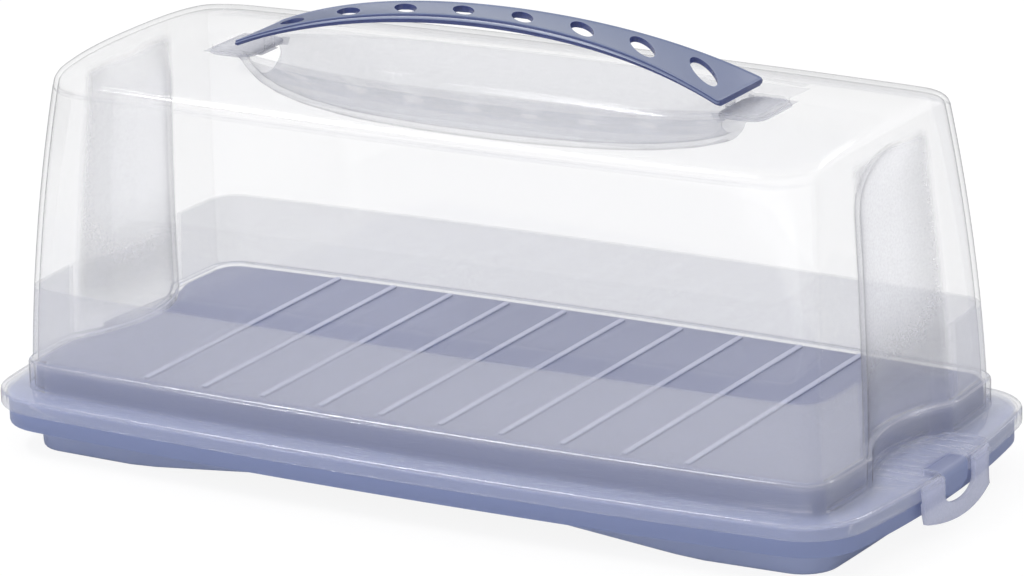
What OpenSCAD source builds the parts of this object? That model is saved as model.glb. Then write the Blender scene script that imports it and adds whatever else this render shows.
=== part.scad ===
// Loaf cake carrier: moulded tray, clear hood with two snap clips, strap handle.
// Lengths in millimetres, +Z up, X along the length.
// The origin is the middle of the carrier where its foot meets the table.
// The camera side is -Y; both ends are alike, so the part has two mirror planes.

/* [Overall] */
// Half length over the rim at the middle of the ends
rim_half_length = 180; // [120:1:220]
// Half depth over the rim at the middle of the long sides
rim_half_depth = 85; // [60:0.5:110]
// Plan radius of the rim corners
rim_corner = 24; // [12:1:34]
// How far the end edges bow outward
rim_bow_end = 4; // [1:0.5:8]
// How far the long edges bow outward
rim_bow_side = 4.5; // [1:0.5:8]

/* [Hood] */
// Width of the rim outside the hood wall, at the ends
rim_width_end = 16; // [10:0.5:24]
// Width of the rim outside the hood wall, at the long sides
rim_width_side = 12.5; // [8:0.5:18]
// Plan radius of the hood corners at the step line
hood_corner = 10; // [6:1:16]
// Plan radius of the hood corners at the top
hood_corner_top = 17; // [8:1:26]
// Height of the upper face of the hood rim
rim_top = 22.8; // [18:0.2:28]
// Height of the step line above the band
step_height = 33.6; // [28:0.2:40]
// How far the band stands out below the step line
band_out = 1.6; // [0.6:0.2:3]
// Height of the hood top at its middle
hood_top = 144; // [120:1:170]
// How far the top falls toward the two ends
end_crown = 1.4; // [0:0.2:4]
// How far the top falls toward the long sides
side_crown = 8.4; // [2:0.2:12]
// Radius of the edge between the wall and the top
top_round = 5; // [3:0.2:8]
// Wall thickness of the clear hood
hood_wall = 1.8; // [1.2:0.1:2.6]
// Height of the lip that turns down round the rim
lip_drop = 5.8; // [3:0.2:8]

/* [End recess] */
// Half width of the recess at the step line
recess_half_width = 34; // [20:1:45]
// Depth of the recess at the step line
recess_depth = 10.4; // [4:0.2:14]
// Half width of the recess at the top
recess_top_half_width = 26.5; // [15:0.5:40]
// Depth of the recess at the top
recess_top_depth = 7.6; // [3:0.2:12]

/* [Finger well] */
// Half length of the well under the handle
well_half_length = 108; // [70:1:120]
// Half width of the well at the middle
well_half_width = 28.8; // [18:0.4:36]
// Depth of the well below the hood top
well_depth = 18.6; // [8:0.2:24]

/* [Handle] */
// Height of the handle crest above the hood top
handle_rise = 20.8; // [14:0.2:28]
// Half length of the wide strap
strap_half_length = 98.5; // [70:0.5:110]
// Half width of the strap at its middle
strap_half_mid = 9.4; // [6:0.2:14]
// Half width of the strap at its ends
strap_half_end = 17.4; // [10:0.2:20]
// Height of the strap edges
strap_edge = 3.6; // [2:0.2:5]
// Spacing of the slanted holes
hole_pitch = 24; // [16:0.5:28]

/* [Tray] */
// How far the foot stands in from the rim, at the ends
foot_inset_end = 17; // [8:0.5:30]
// How far the foot stands in from the rim, at the long sides
foot_inset_side = 15; // [8:0.5:24]
// Height of the tray top inside the hood
tray_top = 33; // [26:0.2:40]
// Spacing of the ribs across the tray top
rib_pitch = 24.5; // [18:0.5:30]
// Height of the lower edge of the outer skirt
skirt_bottom = 10; // [5:0.5:15]
// Rise of the foot at the middle of the long sides
foot_arch = 5.5; // [2:0.5:8]

/* [Clips] */
// Half width of a clip
clip_half_width = 25.5; // [16:0.5:32]
// Half width of the tongue in the clip window
tongue_half_width = 10.3; // [6:0.1:15]

/* [Hidden] */
// Half sizes of the hood wall at the step line, and of the foot
hood_half_length = rim_half_length - rim_width_end;
hood_half_depth = rim_half_depth - rim_width_side;
foot_half_length = rim_half_length - foot_inset_end;
foot_half_depth = rim_half_depth - foot_inset_side;
// Wall of the tray
tray_wall = 2.2;
// Side play of the tray rim in the hood lip, on each side
rim_play = 1;
// Play between the tray top wall and the hood band, on each side
band_play = 0.6;
// Seat of the hood rim on the tray rim, with the gap that keeps the two apart
seat = rim_top - hood_wall - 0.03;
// Half width of the slots for the handle ends
slot_half = strap_half_end - 4.4;
// Handle arch, from its crest down to ends that just clear the hood
handle_crest = hood_top + handle_rise;
arch_drop = handle_rise - strap_edge - 0.05;
arch_radius = (pow(strap_half_length, 2) + pow(arch_drop, 2)) / (2 * arch_drop);
// Gap at the thin hinge line between a clip and the rim edge
hinge_gap = 0.15;
// Overlap used where two solids are joined, and past where one is cut
lap = 0.6;
// Outer face of the tongue, and the inner end of its slot through the hood rim
tongue_face = rim_half_length - 0.4;
tongue_slot = rim_half_length - 8;
// Bow of a clip seen from above, at its two sides
clip_bow = 1.6;
// Height of the hinge line of a clip
hinge_height = rim_top - 0.4;

// One corner of a rounded rectangle with bowed sides, from the +X side round to the +Y side.
// hx, hy are the half sizes at the mid sides, ex and ey the bow at the corner centres.
function quarter(hx, hy, r, ex, ey) =
    let (cx = hx - r - ex, cy = hy - r - ey,
         pr = (ex * ex + cy * cy) / (2 * ex), ps = (ey * ey + cx * cx) / (2 * ey),
         a0 = asin(cy / pr), a1 = 90 - asin(cx / ps))
    concat(
        [for (k = [0 : 3]) let (a = a0 * k / 4)
            [hx - r - pr + (pr + r) * cos(a), (pr + r) * sin(a)]],
        [for (k = [0 : 7]) let (a = a0 + (a1 - a0) * k / 7) [cx + r * cos(a), cy + r * sin(a)]],
        [for (k = [1 : 5]) let (a = a1 + (90 - a1) * k / 5)
            [(ps + r) * cos(a), hy - r - ps + (ps + r) * sin(a)]]);

function turned(p, sx, sy) = [for (v = p) [v[0] * sx, v[1] * sy]];
function reversed(p) = [for (i = [len(p) - 1 : -1 : 0]) p[i]];
function tail(p) = [for (i = [1 : len(p) - 1]) p[i]];
// The whole outline, counter-clockwise, no point twice
function outline(hx, hy, r, ex, ey) =
    let (q = quarter(hx, hy, r, ex, ey),
         b = tail(reversed(turned(q, -1, 1))), c = tail(turned(q, -1, -1)),
         d = tail(reversed(turned(q, 1, -1))))
    concat(q, b, c, [for (i = [0 : len(d) - 2]) d[i]]);

function rim_line(d) = outline(rim_half_length - d, rim_half_depth - d,
    max(rim_corner - d, 3), rim_bow_end, rim_bow_side);
function hood_line(d) = hood_ring(d, max(hood_corner - d, 4));
function hood_ring(d, r) = outline(hood_half_length - d, hood_half_depth - d, r, 1.4, 4);
// Inward lean of the hood wall at a height above the step
function lean(z) = let (u = (z - step_height) / 100) 3.06 * u + 4 * u * u;

// Crowned top of the hood, at a point of its plan
function dome(p) = hood_top - end_crown * pow(p[0] / hood_half_length, 2)
    - side_crown * pow(abs(p[1]) / hood_half_depth, 3);
// Rings of the hood skin, lowest first; t is how far inside the outer face they lie
function hood_rings(t) =
    let (wall_top = hood_top - 12, rise = wall_top - step_height, e = lean(wall_top + 3),
         widen = hood_corner_top - hood_corner, r_top = hood_corner_top - t, r = top_round - t,
         reach = hood_half_depth - e - t)
    concat(
        [for (k = [-1, 0.17, 0.37, 0.57, 0.76, 0.9, 1])
            let (z = k < 0 ? step_height - lap - t : step_height + k * rise, w = lean(z))
            [for (p = hood_ring(w + t, max(hood_corner + widen * w / e - t, 4))) [p[0], p[1], z]]],
        [for (a = [0 : 15 : 90]) let (v = r * (1 - cos(a)))
            [for (p = hood_ring(e + t + v, r_top - v * 0.45)) [p[0], p[1], dome(p) - t - r * (1 - sin(a))]]],
        [for (k = [0.14, 0.25, 0.4, 0.58, 0.75]) let (v = max(k * reach, r + 1))
            [for (p = hood_ring(e + t + v, max(r_top - v * 0.45, 5))) [p[0], p[1], dome(p) - t]]]);

// Closed skin over rings of equal length, lowest first
module skin(rings) {
    n = len(rings[0]);
    m = len(rings);
    points = [for (r = rings, p = r) p];
    sides = [for (i = [0 : m - 2], j = [0 : n - 1]) let (k = (j + 1) % n)
        each [[i * n + j, (i + 1) * n + j, (i + 1) * n + k], [i * n + j, (i + 1) * n + k, i * n + k]]];
    low = [for (j = [0 : n - 1]) j];
    mid = n * m;
    top_z = max([for (p = rings[m - 1]) p[2]]) + 0.05;
    high = [for (j = [0 : n - 1]) [(m - 1) * n + j, mid, (m - 1) * n + (j + 1) % n]];
    polyhedron(points = concat(points, [[0, 0, top_z]]), faces = concat(sides, [low], high), convexity = 8);
}

module slab(z0, z1, line) {
    translate([0, 0, z0]) linear_extrude(height = z1 - z0) polygon(line);
}

// The cutter that hollows one end wall; grow pushes its face inward for the inner surface
module recess(grow, z0, z1) {
    rise = hood_top - step_height - 4.4;
    depth = function(z) recess_depth + (recess_top_depth - recess_depth) * (z - step_height) / rise;
    half = function(z) recess_half_width
        + (recess_top_half_width - recess_half_width) * (z - step_height) / rise;
    wall = function(z) hood_half_length - 0.2 - (z > step_height ? lean(z) : 0);
    radius = function(z) (pow(half(z), 2) + pow(depth(z), 2)) / (2 * depth(z));
    rows = z1 < step_height + rise / 2 ? [z0, z1]
        : [z0, step_height + rise * 0.34, step_height + rise * 0.7, z1];
    for (i = [0 : len(rows) - 2]) hull() for (z = [rows[i], rows[i + 1]])
        translate([wall(z) - depth(z) + radius(z), 0, z - 0.01])
            cylinder(r = radius(z) + grow, h = 0.02, $fn = 128);
}
module both_ends() { children(); mirror([1, 0, 0]) children(); }

// Lens outline of the finger well
function lens(k, g) = [for (i = [0 : 55]) let (a = 360 * i / 56)
    [(well_half_length * k + g) * sign(cos(a)) * pow(abs(cos(a)), 0.83),
     (well_half_width * k + g) * sign(sin(a)) * pow(abs(sin(a)), 1.12)]];
module well(g) {
    rows = [[1.03, hood_top + 2], [1, hood_top - 1.2], [0.97, hood_top - 5], [0.9, hood_top - 11],
            [0.79, hood_top - 15.4], [0.64, hood_top - 17.8], [0.46, hood_top - well_depth]];
    for (i = [0 : len(rows) - 2]) hull() for (j = [i, i + 1])
        translate([0, 0, rows[j][1] - (j > 0 ? g : 0) - 0.01])
            linear_extrude(height = 0.02) polygon(lens(rows[j][0], g));
}

// Rounded slot that one end of the handle drops into, with room for it to slide outward
module slot(z0, z1) {
    translate([0, 0, z0]) linear_extrude(height = z1 - z0) hull()
        for (x = [strap_half_length + 2, strap_half_length + 9], y = [-1, 1])
            translate([x, y * (slot_half - 5)]) circle(r = 5, $fn = 32);
}

module window(half, z0, z1, x0, x1) {
    translate([x0, -half, z0]) cube([x1 - x0, 2 * half, z1 - z0]);
}

module hood_body() {
    difference() {
        union() {
            difference() {
                skin(hood_rings(0));
                both_ends() recess(0, step_height - 2, hood_top + 4);
            }
            difference() {
                union() {
                    slab(rim_top - lap, step_height - 0.8, hood_line(-band_out));
                    hull() {
                        slab(step_height - 0.82, step_height - 0.8, hood_line(-band_out));
                        slab(step_height - 0.02, step_height, hood_line(-band_out + 0.8));
                    }
                }
                both_ends() recess(-band_out, rim_top - 2, step_height + 0.5);
            }
            slab(rim_top - lip_drop, rim_top - 0.7, rim_line(0));
            hull() {
                slab(rim_top - 0.72, rim_top - 0.7, rim_line(0));
                slab(rim_top - 0.02, rim_top, rim_line(0.7));
            }
            both_ends() grip_plate();
        }
        difference() {
            skin(hood_rings(hood_wall));
            both_ends() recess(hood_wall, step_height - 4, hood_top + 4);
            well(hood_wall);
        }
        difference() {
            slab(rim_top - lip_drop - 1, step_height - hood_wall, hood_line(hood_wall - band_out));
            both_ends() recess(hood_wall - band_out, rim_top - 8, step_height + 0.5);
        }
        slab(rim_top - lip_drop - 1, rim_top - hood_wall, rim_line(hood_wall));
        well(0);
        both_ends() slot(hood_top - 16, hood_top + 4);
        both_ends() window(tongue_half_width + 0.9, seat - 10, rim_top + 3, tongue_slot, rim_half_length + 3);
    }
}

// Ribbed plate on the rim inside the end recess
module grip_plate() {
    difference() {
        union() {
            intersection() {
                window(28.4, rim_top - lap, rim_top + 0.8, hood_half_length - 14, rim_half_length - 0.7);
                recess(-band_out - 0.6, rim_top - 2, step_height + 0.5);
                slab(rim_top - 1, rim_top + 2, rim_line(0.7));
            }
            intersection() {
                for (k = [-4 : 4]) translate([hood_half_length - 14, k * 6.4 - 0.7, rim_top])
                    cube([rim_half_length - hood_half_length + 12.4, 1.4, 1.5]);
                recess(-band_out - 2.6, rim_top - 2, step_height + 0.5);
            }
        }
        window(tongue_half_width + 0.9, rim_top - 3, rim_top + 3, tongue_slot, rim_half_length + 3);
    }
}

module hood() { color([0.93, 0.94, 0.96, 0.35]) hood_body(); }

// Tray
module plateau_skin(t) {
    z = tray_top;
    wall_x = hood_half_length + band_out - hood_wall - band_play;
    inset = hood_half_length - wall_x;
    difference() {
        skin([for (v = [[inset + t, seat - lap], [inset + t + 0.3, z - 3.6 - t], [inset + t + 1, z - 1.6 - t],
                        [inset + t + 2.4, z - 0.5 - t], [inset + t + 4.4, z - t]])
            [for (p = hood_line(v[0])) [p[0], p[1], v[1]]]]);
        both_ends() {
            recess(hood_wall + band_play - band_out + t, seat - 12, step_height + 0.5);
            recess(hood_wall + band_play + t, z - 2, step_height + 0.5);
        }
    }
}
module foot_solid(t) {
    hull() {
        slab(t > 0 ? -1 : 0, t > 0 ? -0.98 : 0.02,
            outline(foot_half_length - t, foot_half_depth - t, 13 - t, 1, 2.5));
        slab(seat - 0.02, seat,
            outline(foot_half_length - t + 0.8, foot_half_depth - t + 0.8, 14 - t, 1, 2.5));
    }
}
module tray_body() {
    outer = hood_wall + rim_play;
    difference() {
        union() {
            difference() {
                slab(skirt_bottom, seat, rim_line(outer));
                slab(skirt_bottom - 1, seat - tray_wall, rim_line(outer + tray_wall));
            }
            plateau_skin(0);
            foot_solid(0);
        }
        difference() {
            foot_solid(tray_wall);
            slab(seat - tray_wall, seat + 1, rim_line(-2));
        }
        intersection() {
            plateau_hollow();
            slab(0, tray_top - tray_wall, rim_line(20));
        }
        // raised foot at the middle of the long sides
        rotate([90, 0, 0]) translate([0, 0, -100]) linear_extrude(height = 200)
            polygon([for (v = [[-0.693, -1], [-0.693, 0], [-0.368, foot_arch],
                               [0.368, foot_arch], [0.693, 0], [0.693, -1]]) [v[0] * foot_half_length, v[1]]]);
    }
    for (k = [-4.5 : 1 : 4.5]) hull() for (y = [-1, 1])
        translate([k * rib_pitch, y * (hood_half_depth - 11.5), tray_top - 0.5])
            cylinder(r = 1.1, h = 1.3, $fn = 16);
    both_ends() tongue();
}
module plateau_hollow() {
    difference() {
        slab(-1, tray_top, outline(foot_half_length - 3.4, foot_half_depth - 3.4, 9, 1, 2.5));
        both_ends() recess(hood_wall + band_play - band_out + tray_wall + 0.4, -4, step_height + 0.5);
    }
}
// Tongue: out over the tray rim, bent down in front of it, D shaped face
module tongue() {
    w = tongue_half_width;
    thick = 1.9;
    top = seat + hood_wall - 0.3;
    root = tongue_slot + 1;
    translate([root, -w, seat - 1]) cube([tongue_face - root - 1.4, 2 * w, top - seat + 1]);
    translate([tongue_face - thick, -w, 16]) cube([thick, 2 * w, top - 1.4 - 16]);
    translate([tongue_face - 1.4, w, top - 1.4]) rotate([90, 0, 0]) cylinder(r = 1.4, h = 2 * w, $fn = 32);
    translate([tongue_face - thick, 0, 16]) rotate([0, 90, 0])
        scale([0.36, 1, 1]) cylinder(r = w, h = thick, $fn = 64);
    translate([root + 1, -w, seat - 5]) cube([tongue_face - thick - root - 0.8, 2 * w, 5]);
}

module base_tray() { color([0.55, 0.58, 0.72]) tray_body(); }

// Handle
module arch_band(r0, r1, half) {
    translate([0, half, handle_crest - arch_radius]) rotate([90, 0, 0]) difference() {
        cylinder(r = r1, h = 2 * half, $fn = 360);
        translate([0, 0, -1]) cylinder(r = r0, h = 2 * half + 2, $fn = 360);
    }
}
function strap_half(x) = strap_half_mid + (strap_half_end - strap_half_mid) * pow(x / strap_half_length, 2);
function strap_plan(g) = let (s = [for (i = [-12 : 12]) i * (strap_half_length - g) / 12])
    concat([for (x = s) [x, -strap_half(x) + g]], [for (x = reversed(s)) [x, strap_half(x) - g]]);

module strap() {
    difference() {
        intersection() {
            arch_band(arch_radius - strap_edge, arch_radius, 20);
            translate([0, 0, 100]) linear_extrude(height = 100) polygon(strap_plan(0));
        }
        // trough along the upper side
        intersection() {
            arch_band(arch_radius - strap_edge + 2, arch_radius + 2, 20);
            translate([0, 0, 100]) linear_extrude(height = 100) polygon(strap_plan(1.5));
        }
        for (k = [-3.5 : 1 : 3.5]) translate([k * hole_pitch, 0, 120]) rotate([0, 0, -40])
            linear_extrude(height = 60) slanted_hole(abs(k));
    }
}
module slanted_hole(k) {
    reach = 3.2 + k * 0.7;
    for (u = [-1, 1]) translate([u * reach, 0]) circle(r = 4.1, $fn = 48);
    translate([-reach, -4.1]) square([2 * reach, 8.2]);
}
// Narrow neck under each strap end, through the hood slot, with a foot that holds it in
module strap_end() {
    end_z = handle_crest - arch_radius + sqrt(pow(arch_radius, 2) - pow(strap_half_length, 2));
    low = hood_top - 7.4;
    neck = slot_half - 3.5;
    foot = slot_half + 1;
    translate([strap_half_length - 1.6, -neck, low]) cube([2.4, 2 * neck, end_z - low - 1]);
    translate([strap_half_length - 0.8, 0, low]) linear_extrude(height = 1.6)
        polygon([[0, -neck], [1.4, -foot], [3.4, -foot], [4.8, -neck], [4.8, neck], [3.4, foot], [1.4, foot],
                 [0, neck]]);
}
module carry_handle() {
    color([0.45, 0.48, 0.62]) {
        strap();
        both_ends() strap_end();
    }
}

// Clip: two legs that hang from the rim edge and a bar that passes under the tongue
module latch_tab() {
    x = rim_half_length;
    edge = x - 3;
    drop = 5.2;
    turn = (pow(clip_half_width, 2) + pow(clip_bow, 2)) / (2 * clip_bow);
    difference() {
        intersection() {
            // side outline, turned about a far axis so that the clip is bowed like the rim
            translate([x - turn, 0, 0]) rotate([0, 0, -12]) rotate_extrude(angle = 24, $fn = 360)
                translate([turn - x, 0]) polygon([
                    [edge, hinge_height], [x + 1.2, hinge_height], [x + 2, hinge_height - 0.8],
                    [x + 2, 14], [x + 2.3, 10], [x + 3.1, drop - 0.5], [x + 1.3, drop - 0.5],
                    [x + 0.7, 9.5], [x + 0.4, 13], [x + 0.4, hinge_height - 1.8], [edge, hinge_height - 1.8]]);
            // end outline
            translate([edge - 5, 0, 0]) rotate([90, 0, 90]) linear_extrude(height = 20)
                polygon(clip_face(drop));
        }
        slab(rim_top - lip_drop - 1, hinge_height + 1, rim_line(-hinge_gap));
        clip_window(edge - 1, x + 8);
    }
}
// Outline of the clip seen from the end: Y across, Z up
function clip_face(drop) =
    let (w = clip_half_width, s = [for (i = [-10 : 10]) i / 10])
    concat([[-w - 0.6, hinge_height]], [for (u = s) [u * (w - 1), drop + 3.2 * u * u]],
           [[w + 0.6, hinge_height]]);
module clip_window(x0, x1) {
    w = tongue_half_width + 1.5;
    translate([x0, 0, 0]) rotate([90, 0, 90]) linear_extrude(height = x1 - x0)
        polygon(concat([[w, rim_top + 5]], [for (i = [0 : 16]) let (a = -i * 180 / 16)
            [w * cos(a), 15 + 4.4 * sin(a)]], [[-w, rim_top + 5]]));
}
module latch_tab_right() { color([0.8, 0.81, 0.88]) latch_tab(); }
module latch_tab_left() { color([0.8, 0.81, 0.88]) mirror([1, 0, 0]) latch_tab(); }

base_tray();
hood();
carry_handle();
latch_tab_left();
latch_tab_right();
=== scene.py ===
import math
import bpy
import bmesh
from mathutils import Matrix, Vector


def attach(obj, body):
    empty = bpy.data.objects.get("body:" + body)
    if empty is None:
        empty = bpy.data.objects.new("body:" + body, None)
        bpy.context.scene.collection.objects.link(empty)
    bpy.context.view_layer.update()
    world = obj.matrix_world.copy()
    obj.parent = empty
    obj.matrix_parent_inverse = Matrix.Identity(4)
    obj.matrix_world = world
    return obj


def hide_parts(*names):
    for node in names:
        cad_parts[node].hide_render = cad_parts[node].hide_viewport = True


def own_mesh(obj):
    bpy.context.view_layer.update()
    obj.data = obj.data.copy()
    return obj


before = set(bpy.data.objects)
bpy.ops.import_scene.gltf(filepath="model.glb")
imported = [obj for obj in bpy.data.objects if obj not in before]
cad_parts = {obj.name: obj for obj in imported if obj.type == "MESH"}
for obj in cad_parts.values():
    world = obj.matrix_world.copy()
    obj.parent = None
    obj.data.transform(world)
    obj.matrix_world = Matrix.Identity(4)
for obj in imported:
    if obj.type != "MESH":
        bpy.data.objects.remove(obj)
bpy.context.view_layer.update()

scene = bpy.context.scene
mm = 0.001
smoothAngle = 34  # degrees; edges that turn more than this stay crisp
print("frame loaded:", sorted(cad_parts))


# small tools used by every piece

def deselectAll():
    if bpy.context.object and bpy.context.object.mode != "OBJECT":
        bpy.ops.object.mode_set(mode="OBJECT")
    bpy.ops.object.select_all(action="DESELECT")


def pick(*objects):
    deselectAll()
    for o in objects:
        o.select_set(True)
    bpy.context.view_layer.objects.active = objects[0]


def settle(o):  # puts the object's place into its mesh
    pick(o)
    bpy.ops.object.transform_apply(location=True, rotation=True, scale=True)


def smooth(o, angle=smoothAngle):
    pick(o)
    bpy.ops.object.shade_smooth_by_angle(angle=math.radians(angle))


def applyModifier(o, kind, **settings):
    pick(o)
    m = o.modifiers.new(kind.title(), kind)
    for k, v in settings.items():
        setattr(m, k, v)
    bpy.ops.object.modifier_apply(modifier=m.name)


def roundEdges(o, width, sharper):
    # a small radius in mm on every edge that turns more than so many degrees
    applyModifier(o, "BEVEL", width=width * mm, segments=2, limit_method="ANGLE",
                  angle_limit=math.radians(sharper))


def editMode(o, mode="FACE"):
    pick(o)
    bpy.ops.object.mode_set(mode="EDIT")
    bpy.ops.mesh.select_mode(type=mode)
    bpy.ops.mesh.select_all(action="DESELECT")


def selectWhere(o, test, kind="faces"):
    # faces or edges chosen by the place of their middle, in mm, and their normal or direction
    bm = bmesh.from_edit_mesh(o.data)
    for f in bm.faces:
        f.select = False
    for e in bm.edges:
        e.select = False
    for g in getattr(bm, kind):
        c = sum((v.co for v in g.verts), Vector()) / len(g.verts) / mm
        n = g.normal if kind == "faces" else (g.verts[0].co - g.verts[1].co).normalized()
        if test(c, n):
            g.select_set(True)
    bm.select_flush_mode()
    bmesh.update_edit_mesh(o.data)


def shapeVertices(o, move):
    # each vertex goes where move says, from its own place, in mm
    for v in o.data.vertices:
        v.co = Vector(move(*(v.co / mm))) * mm
    o.data.update()


def cleanShell(o):
    editMode(o)
    bpy.ops.mesh.select_all(action="SELECT")
    bpy.ops.mesh.remove_doubles(threshold=0.00001)
    bpy.ops.mesh.normals_make_consistent(inside=False)
    bpy.ops.object.mode_set(mode="OBJECT")
    smooth(o, smoothAngle + 1)


def flipNormals(o):
    editMode(o)
    bpy.ops.mesh.select_all(action="SELECT")
    bpy.ops.mesh.flip_normals()
    bpy.ops.object.mode_set(mode="OBJECT")


def mirroredCopy(o, name):
    pick(o)
    bpy.ops.object.duplicate()
    new = bpy.context.object
    new.name = new.data.name = name
    new.scale = (-1, 1, 1)
    settle(new)
    flipNormals(new)
    return new


# materials

def toLinear(hexColour):
    parts = [int(hexColour[i:i + 2], 16) / 255 for i in (1, 3, 5)]
    return (*[p / 12.92 if p <= 0.04045 else ((p + 0.055) / 1.055) ** 2.4 for p in parts], 1)


def addNode(tree, kind, inputs=(), stops=(), **settings):
    # an input is (name or number, source node, its output) or (number, value); stops fill a colour ramp
    node = tree.nodes.new(kind)
    for k, v in settings.items():
        if hasattr(node, k):
            setattr(node, k, v)
        else:
            node.inputs[k.replace("_", " ")].default_value = v
    for target, source, *output in inputs:
        if output:
            tree.links.new(source.outputs[output[0]], node.inputs[target])
        else:
            node.inputs[target].default_value = source
    ramp = node.color_ramp.elements if stops else ()
    while len(ramp) < len(stops):
        ramp.new(0.5)
    for element, (position, colour) in zip(ramp, stops):
        element.position, element.color = position, colour
    return node


def newMaterial(name):
    material = bpy.data.materials.new(name)
    material.use_nodes = True
    tree = material.node_tree
    tree.nodes.clear()
    return material, tree


def overlap(tree, *masks):
    # what several masks have in common: their product
    common = masks[0]
    for mask in masks[1:]:
        common = addNode(tree, "ShaderNodeMath", [(0, common, 0), (1, mask, 0)], operation="MULTIPLY")
    return common


# shares: (height in mm, share of solid plastic in what is seen there, share of satin mould texture)
hoodPlastic = {"tint": "#F8F8FB", "grazingShade": "#45464B", "ior": 1.49, "roughness": 0.09, "clear": 0.92,
               "wave": 0.02,
               "shares": ((0, .3, .06), (21.8, .3, .06), (22, .85, 0), (22.6, .85, 0), (22.8, .2, .06),
                          (23.4, .2, .06), (23.7, .6, 0), (24.3, .6, 0), (24.6, .2, .06), (32.7, .2, .06),
                          (33.1, .9, 0), (33.62, .9, 0), (33.9, .2, .25), (60.7, .2, .25), (61, .11, 0),
                          (170, .11, 0)),
               "satin": "#CFD0D6", "recessPaintedShade": "#9C9DA2", "recessHigh": "#F4F4F6", "well": 0.2, "pocket": 0.42,
               "recess": 0.34}
clipPlastic = {"tint": "#D3D7EC", "grazingShade": "#45464B", "ior": 1.49, "roughness": 0.2, "clear": 0.55,
               "wave": 0.05,
               "shares": ((0, .62, .25), (19.5, .62, .25), (21, .5, .1), (170, .5, .1)),
               "satin": "#CDD1E8", "recessPaintedShade": "#CDD1E8", "recessHigh": "#CDD1E8", "well": 0, "pocket": 0,
               "recess": 0}
# satin places on the hood in mm: (middle, reach) of distance from the middle along x, of y and of z
# the satin under the slots is painted shade, and the finger well's satin on its far wall is partly painted
# shade
satinPlaces = {"well": ((0, 109), (12, 20), (132, 11)), "pocket": ((104, 9.8), (0, 14), (140.8, 1.3)),
               "recess": ((200, 59), (0, 36), (86, 52.1))}
# soft edges of the recess's satin in mm: (start, end, value at the start); the sides lean in with the recess
# rise and shade set the recess's painted shade: darker low down and towards its sides
satinEdges = {"foot": (34, 58, 0.3), "crown": (135, 130, 0), "rise": (42, 84, 0), "shade": (37.5, 18, 0.5),
              "sides": (37, 34, 0), "sideLean": 7.5 / 106}


def clearWall(tree, place, shares, flow, wave, look):
    # thin clear wall: shows what is behind it unbent, with a soft gloss; greyer where it is seen along itself,
    # a painted shade for the dark surroundings
    gloss = addNode(tree, "ShaderNodeMapRange", [("Value", flow, 0)], To_Min=look["roughness"] * 0.7,
                    To_Max=look["roughness"] * 1.4)
    plastic = addNode(tree, "ShaderNodeBsdfPrincipled", [("Roughness", gloss, 0), ("Normal", wave, 0)],
                      Base_Color=toLinear(look["tint"]), IOR=look["ior"], Transmission_Weight=look["clear"],
                      Specular_IOR_Level=1.0, Coat_Weight=1.0, Coat_Roughness=0.1, Coat_IOR=1.5)
    edge = addNode(tree, "ShaderNodeLayerWeight", Blend=0.5)
    steep = addNode(tree, "ShaderNodeMath", [(0, edge, "Facing"), (1, 8)], operation="POWER")
    # the painted shade is stronger on upright walls than on the top's rounded edge
    level = addNode(tree, "ShaderNodeSeparateXYZ", [(0, place, "Normal")])
    standing = addNode(tree, "ShaderNodeMapRange", [("Value", level, 2)], From_Min=0.6, From_Max=0.2,
                       To_Min=0.2, To_Max=1.0)
    along = overlap(tree, steep, standing)
    grey = addNode(tree, "ShaderNodeMix", [(0, along, 0), (6, (1, 1, 1, 1)), (7, toLinear(look["grazingShade"]))],
                   data_type="RGBA")
    see = addNode(tree, "ShaderNodeBsdfTransparent", [("Color", grey, 2)])
    # the share of solid plastic rises there as well
    room = addNode(tree, "ShaderNodeMath", [(0, 0.6), (1, shares, 0)], operation="SUBTRACT")
    turned = addNode(tree, "ShaderNodeMath", [(0, along, 0), (1, room, 0)], operation="MULTIPLY",
                     use_clamp=True)
    share = addNode(tree, "ShaderNodeMath", [(0, turned, 0), (1, shares, 0)], operation="ADD")
    return addNode(tree, "ShaderNodeMixShader", [(0, share, 0), (1, see, 0), (2, plastic, 0)])


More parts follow.
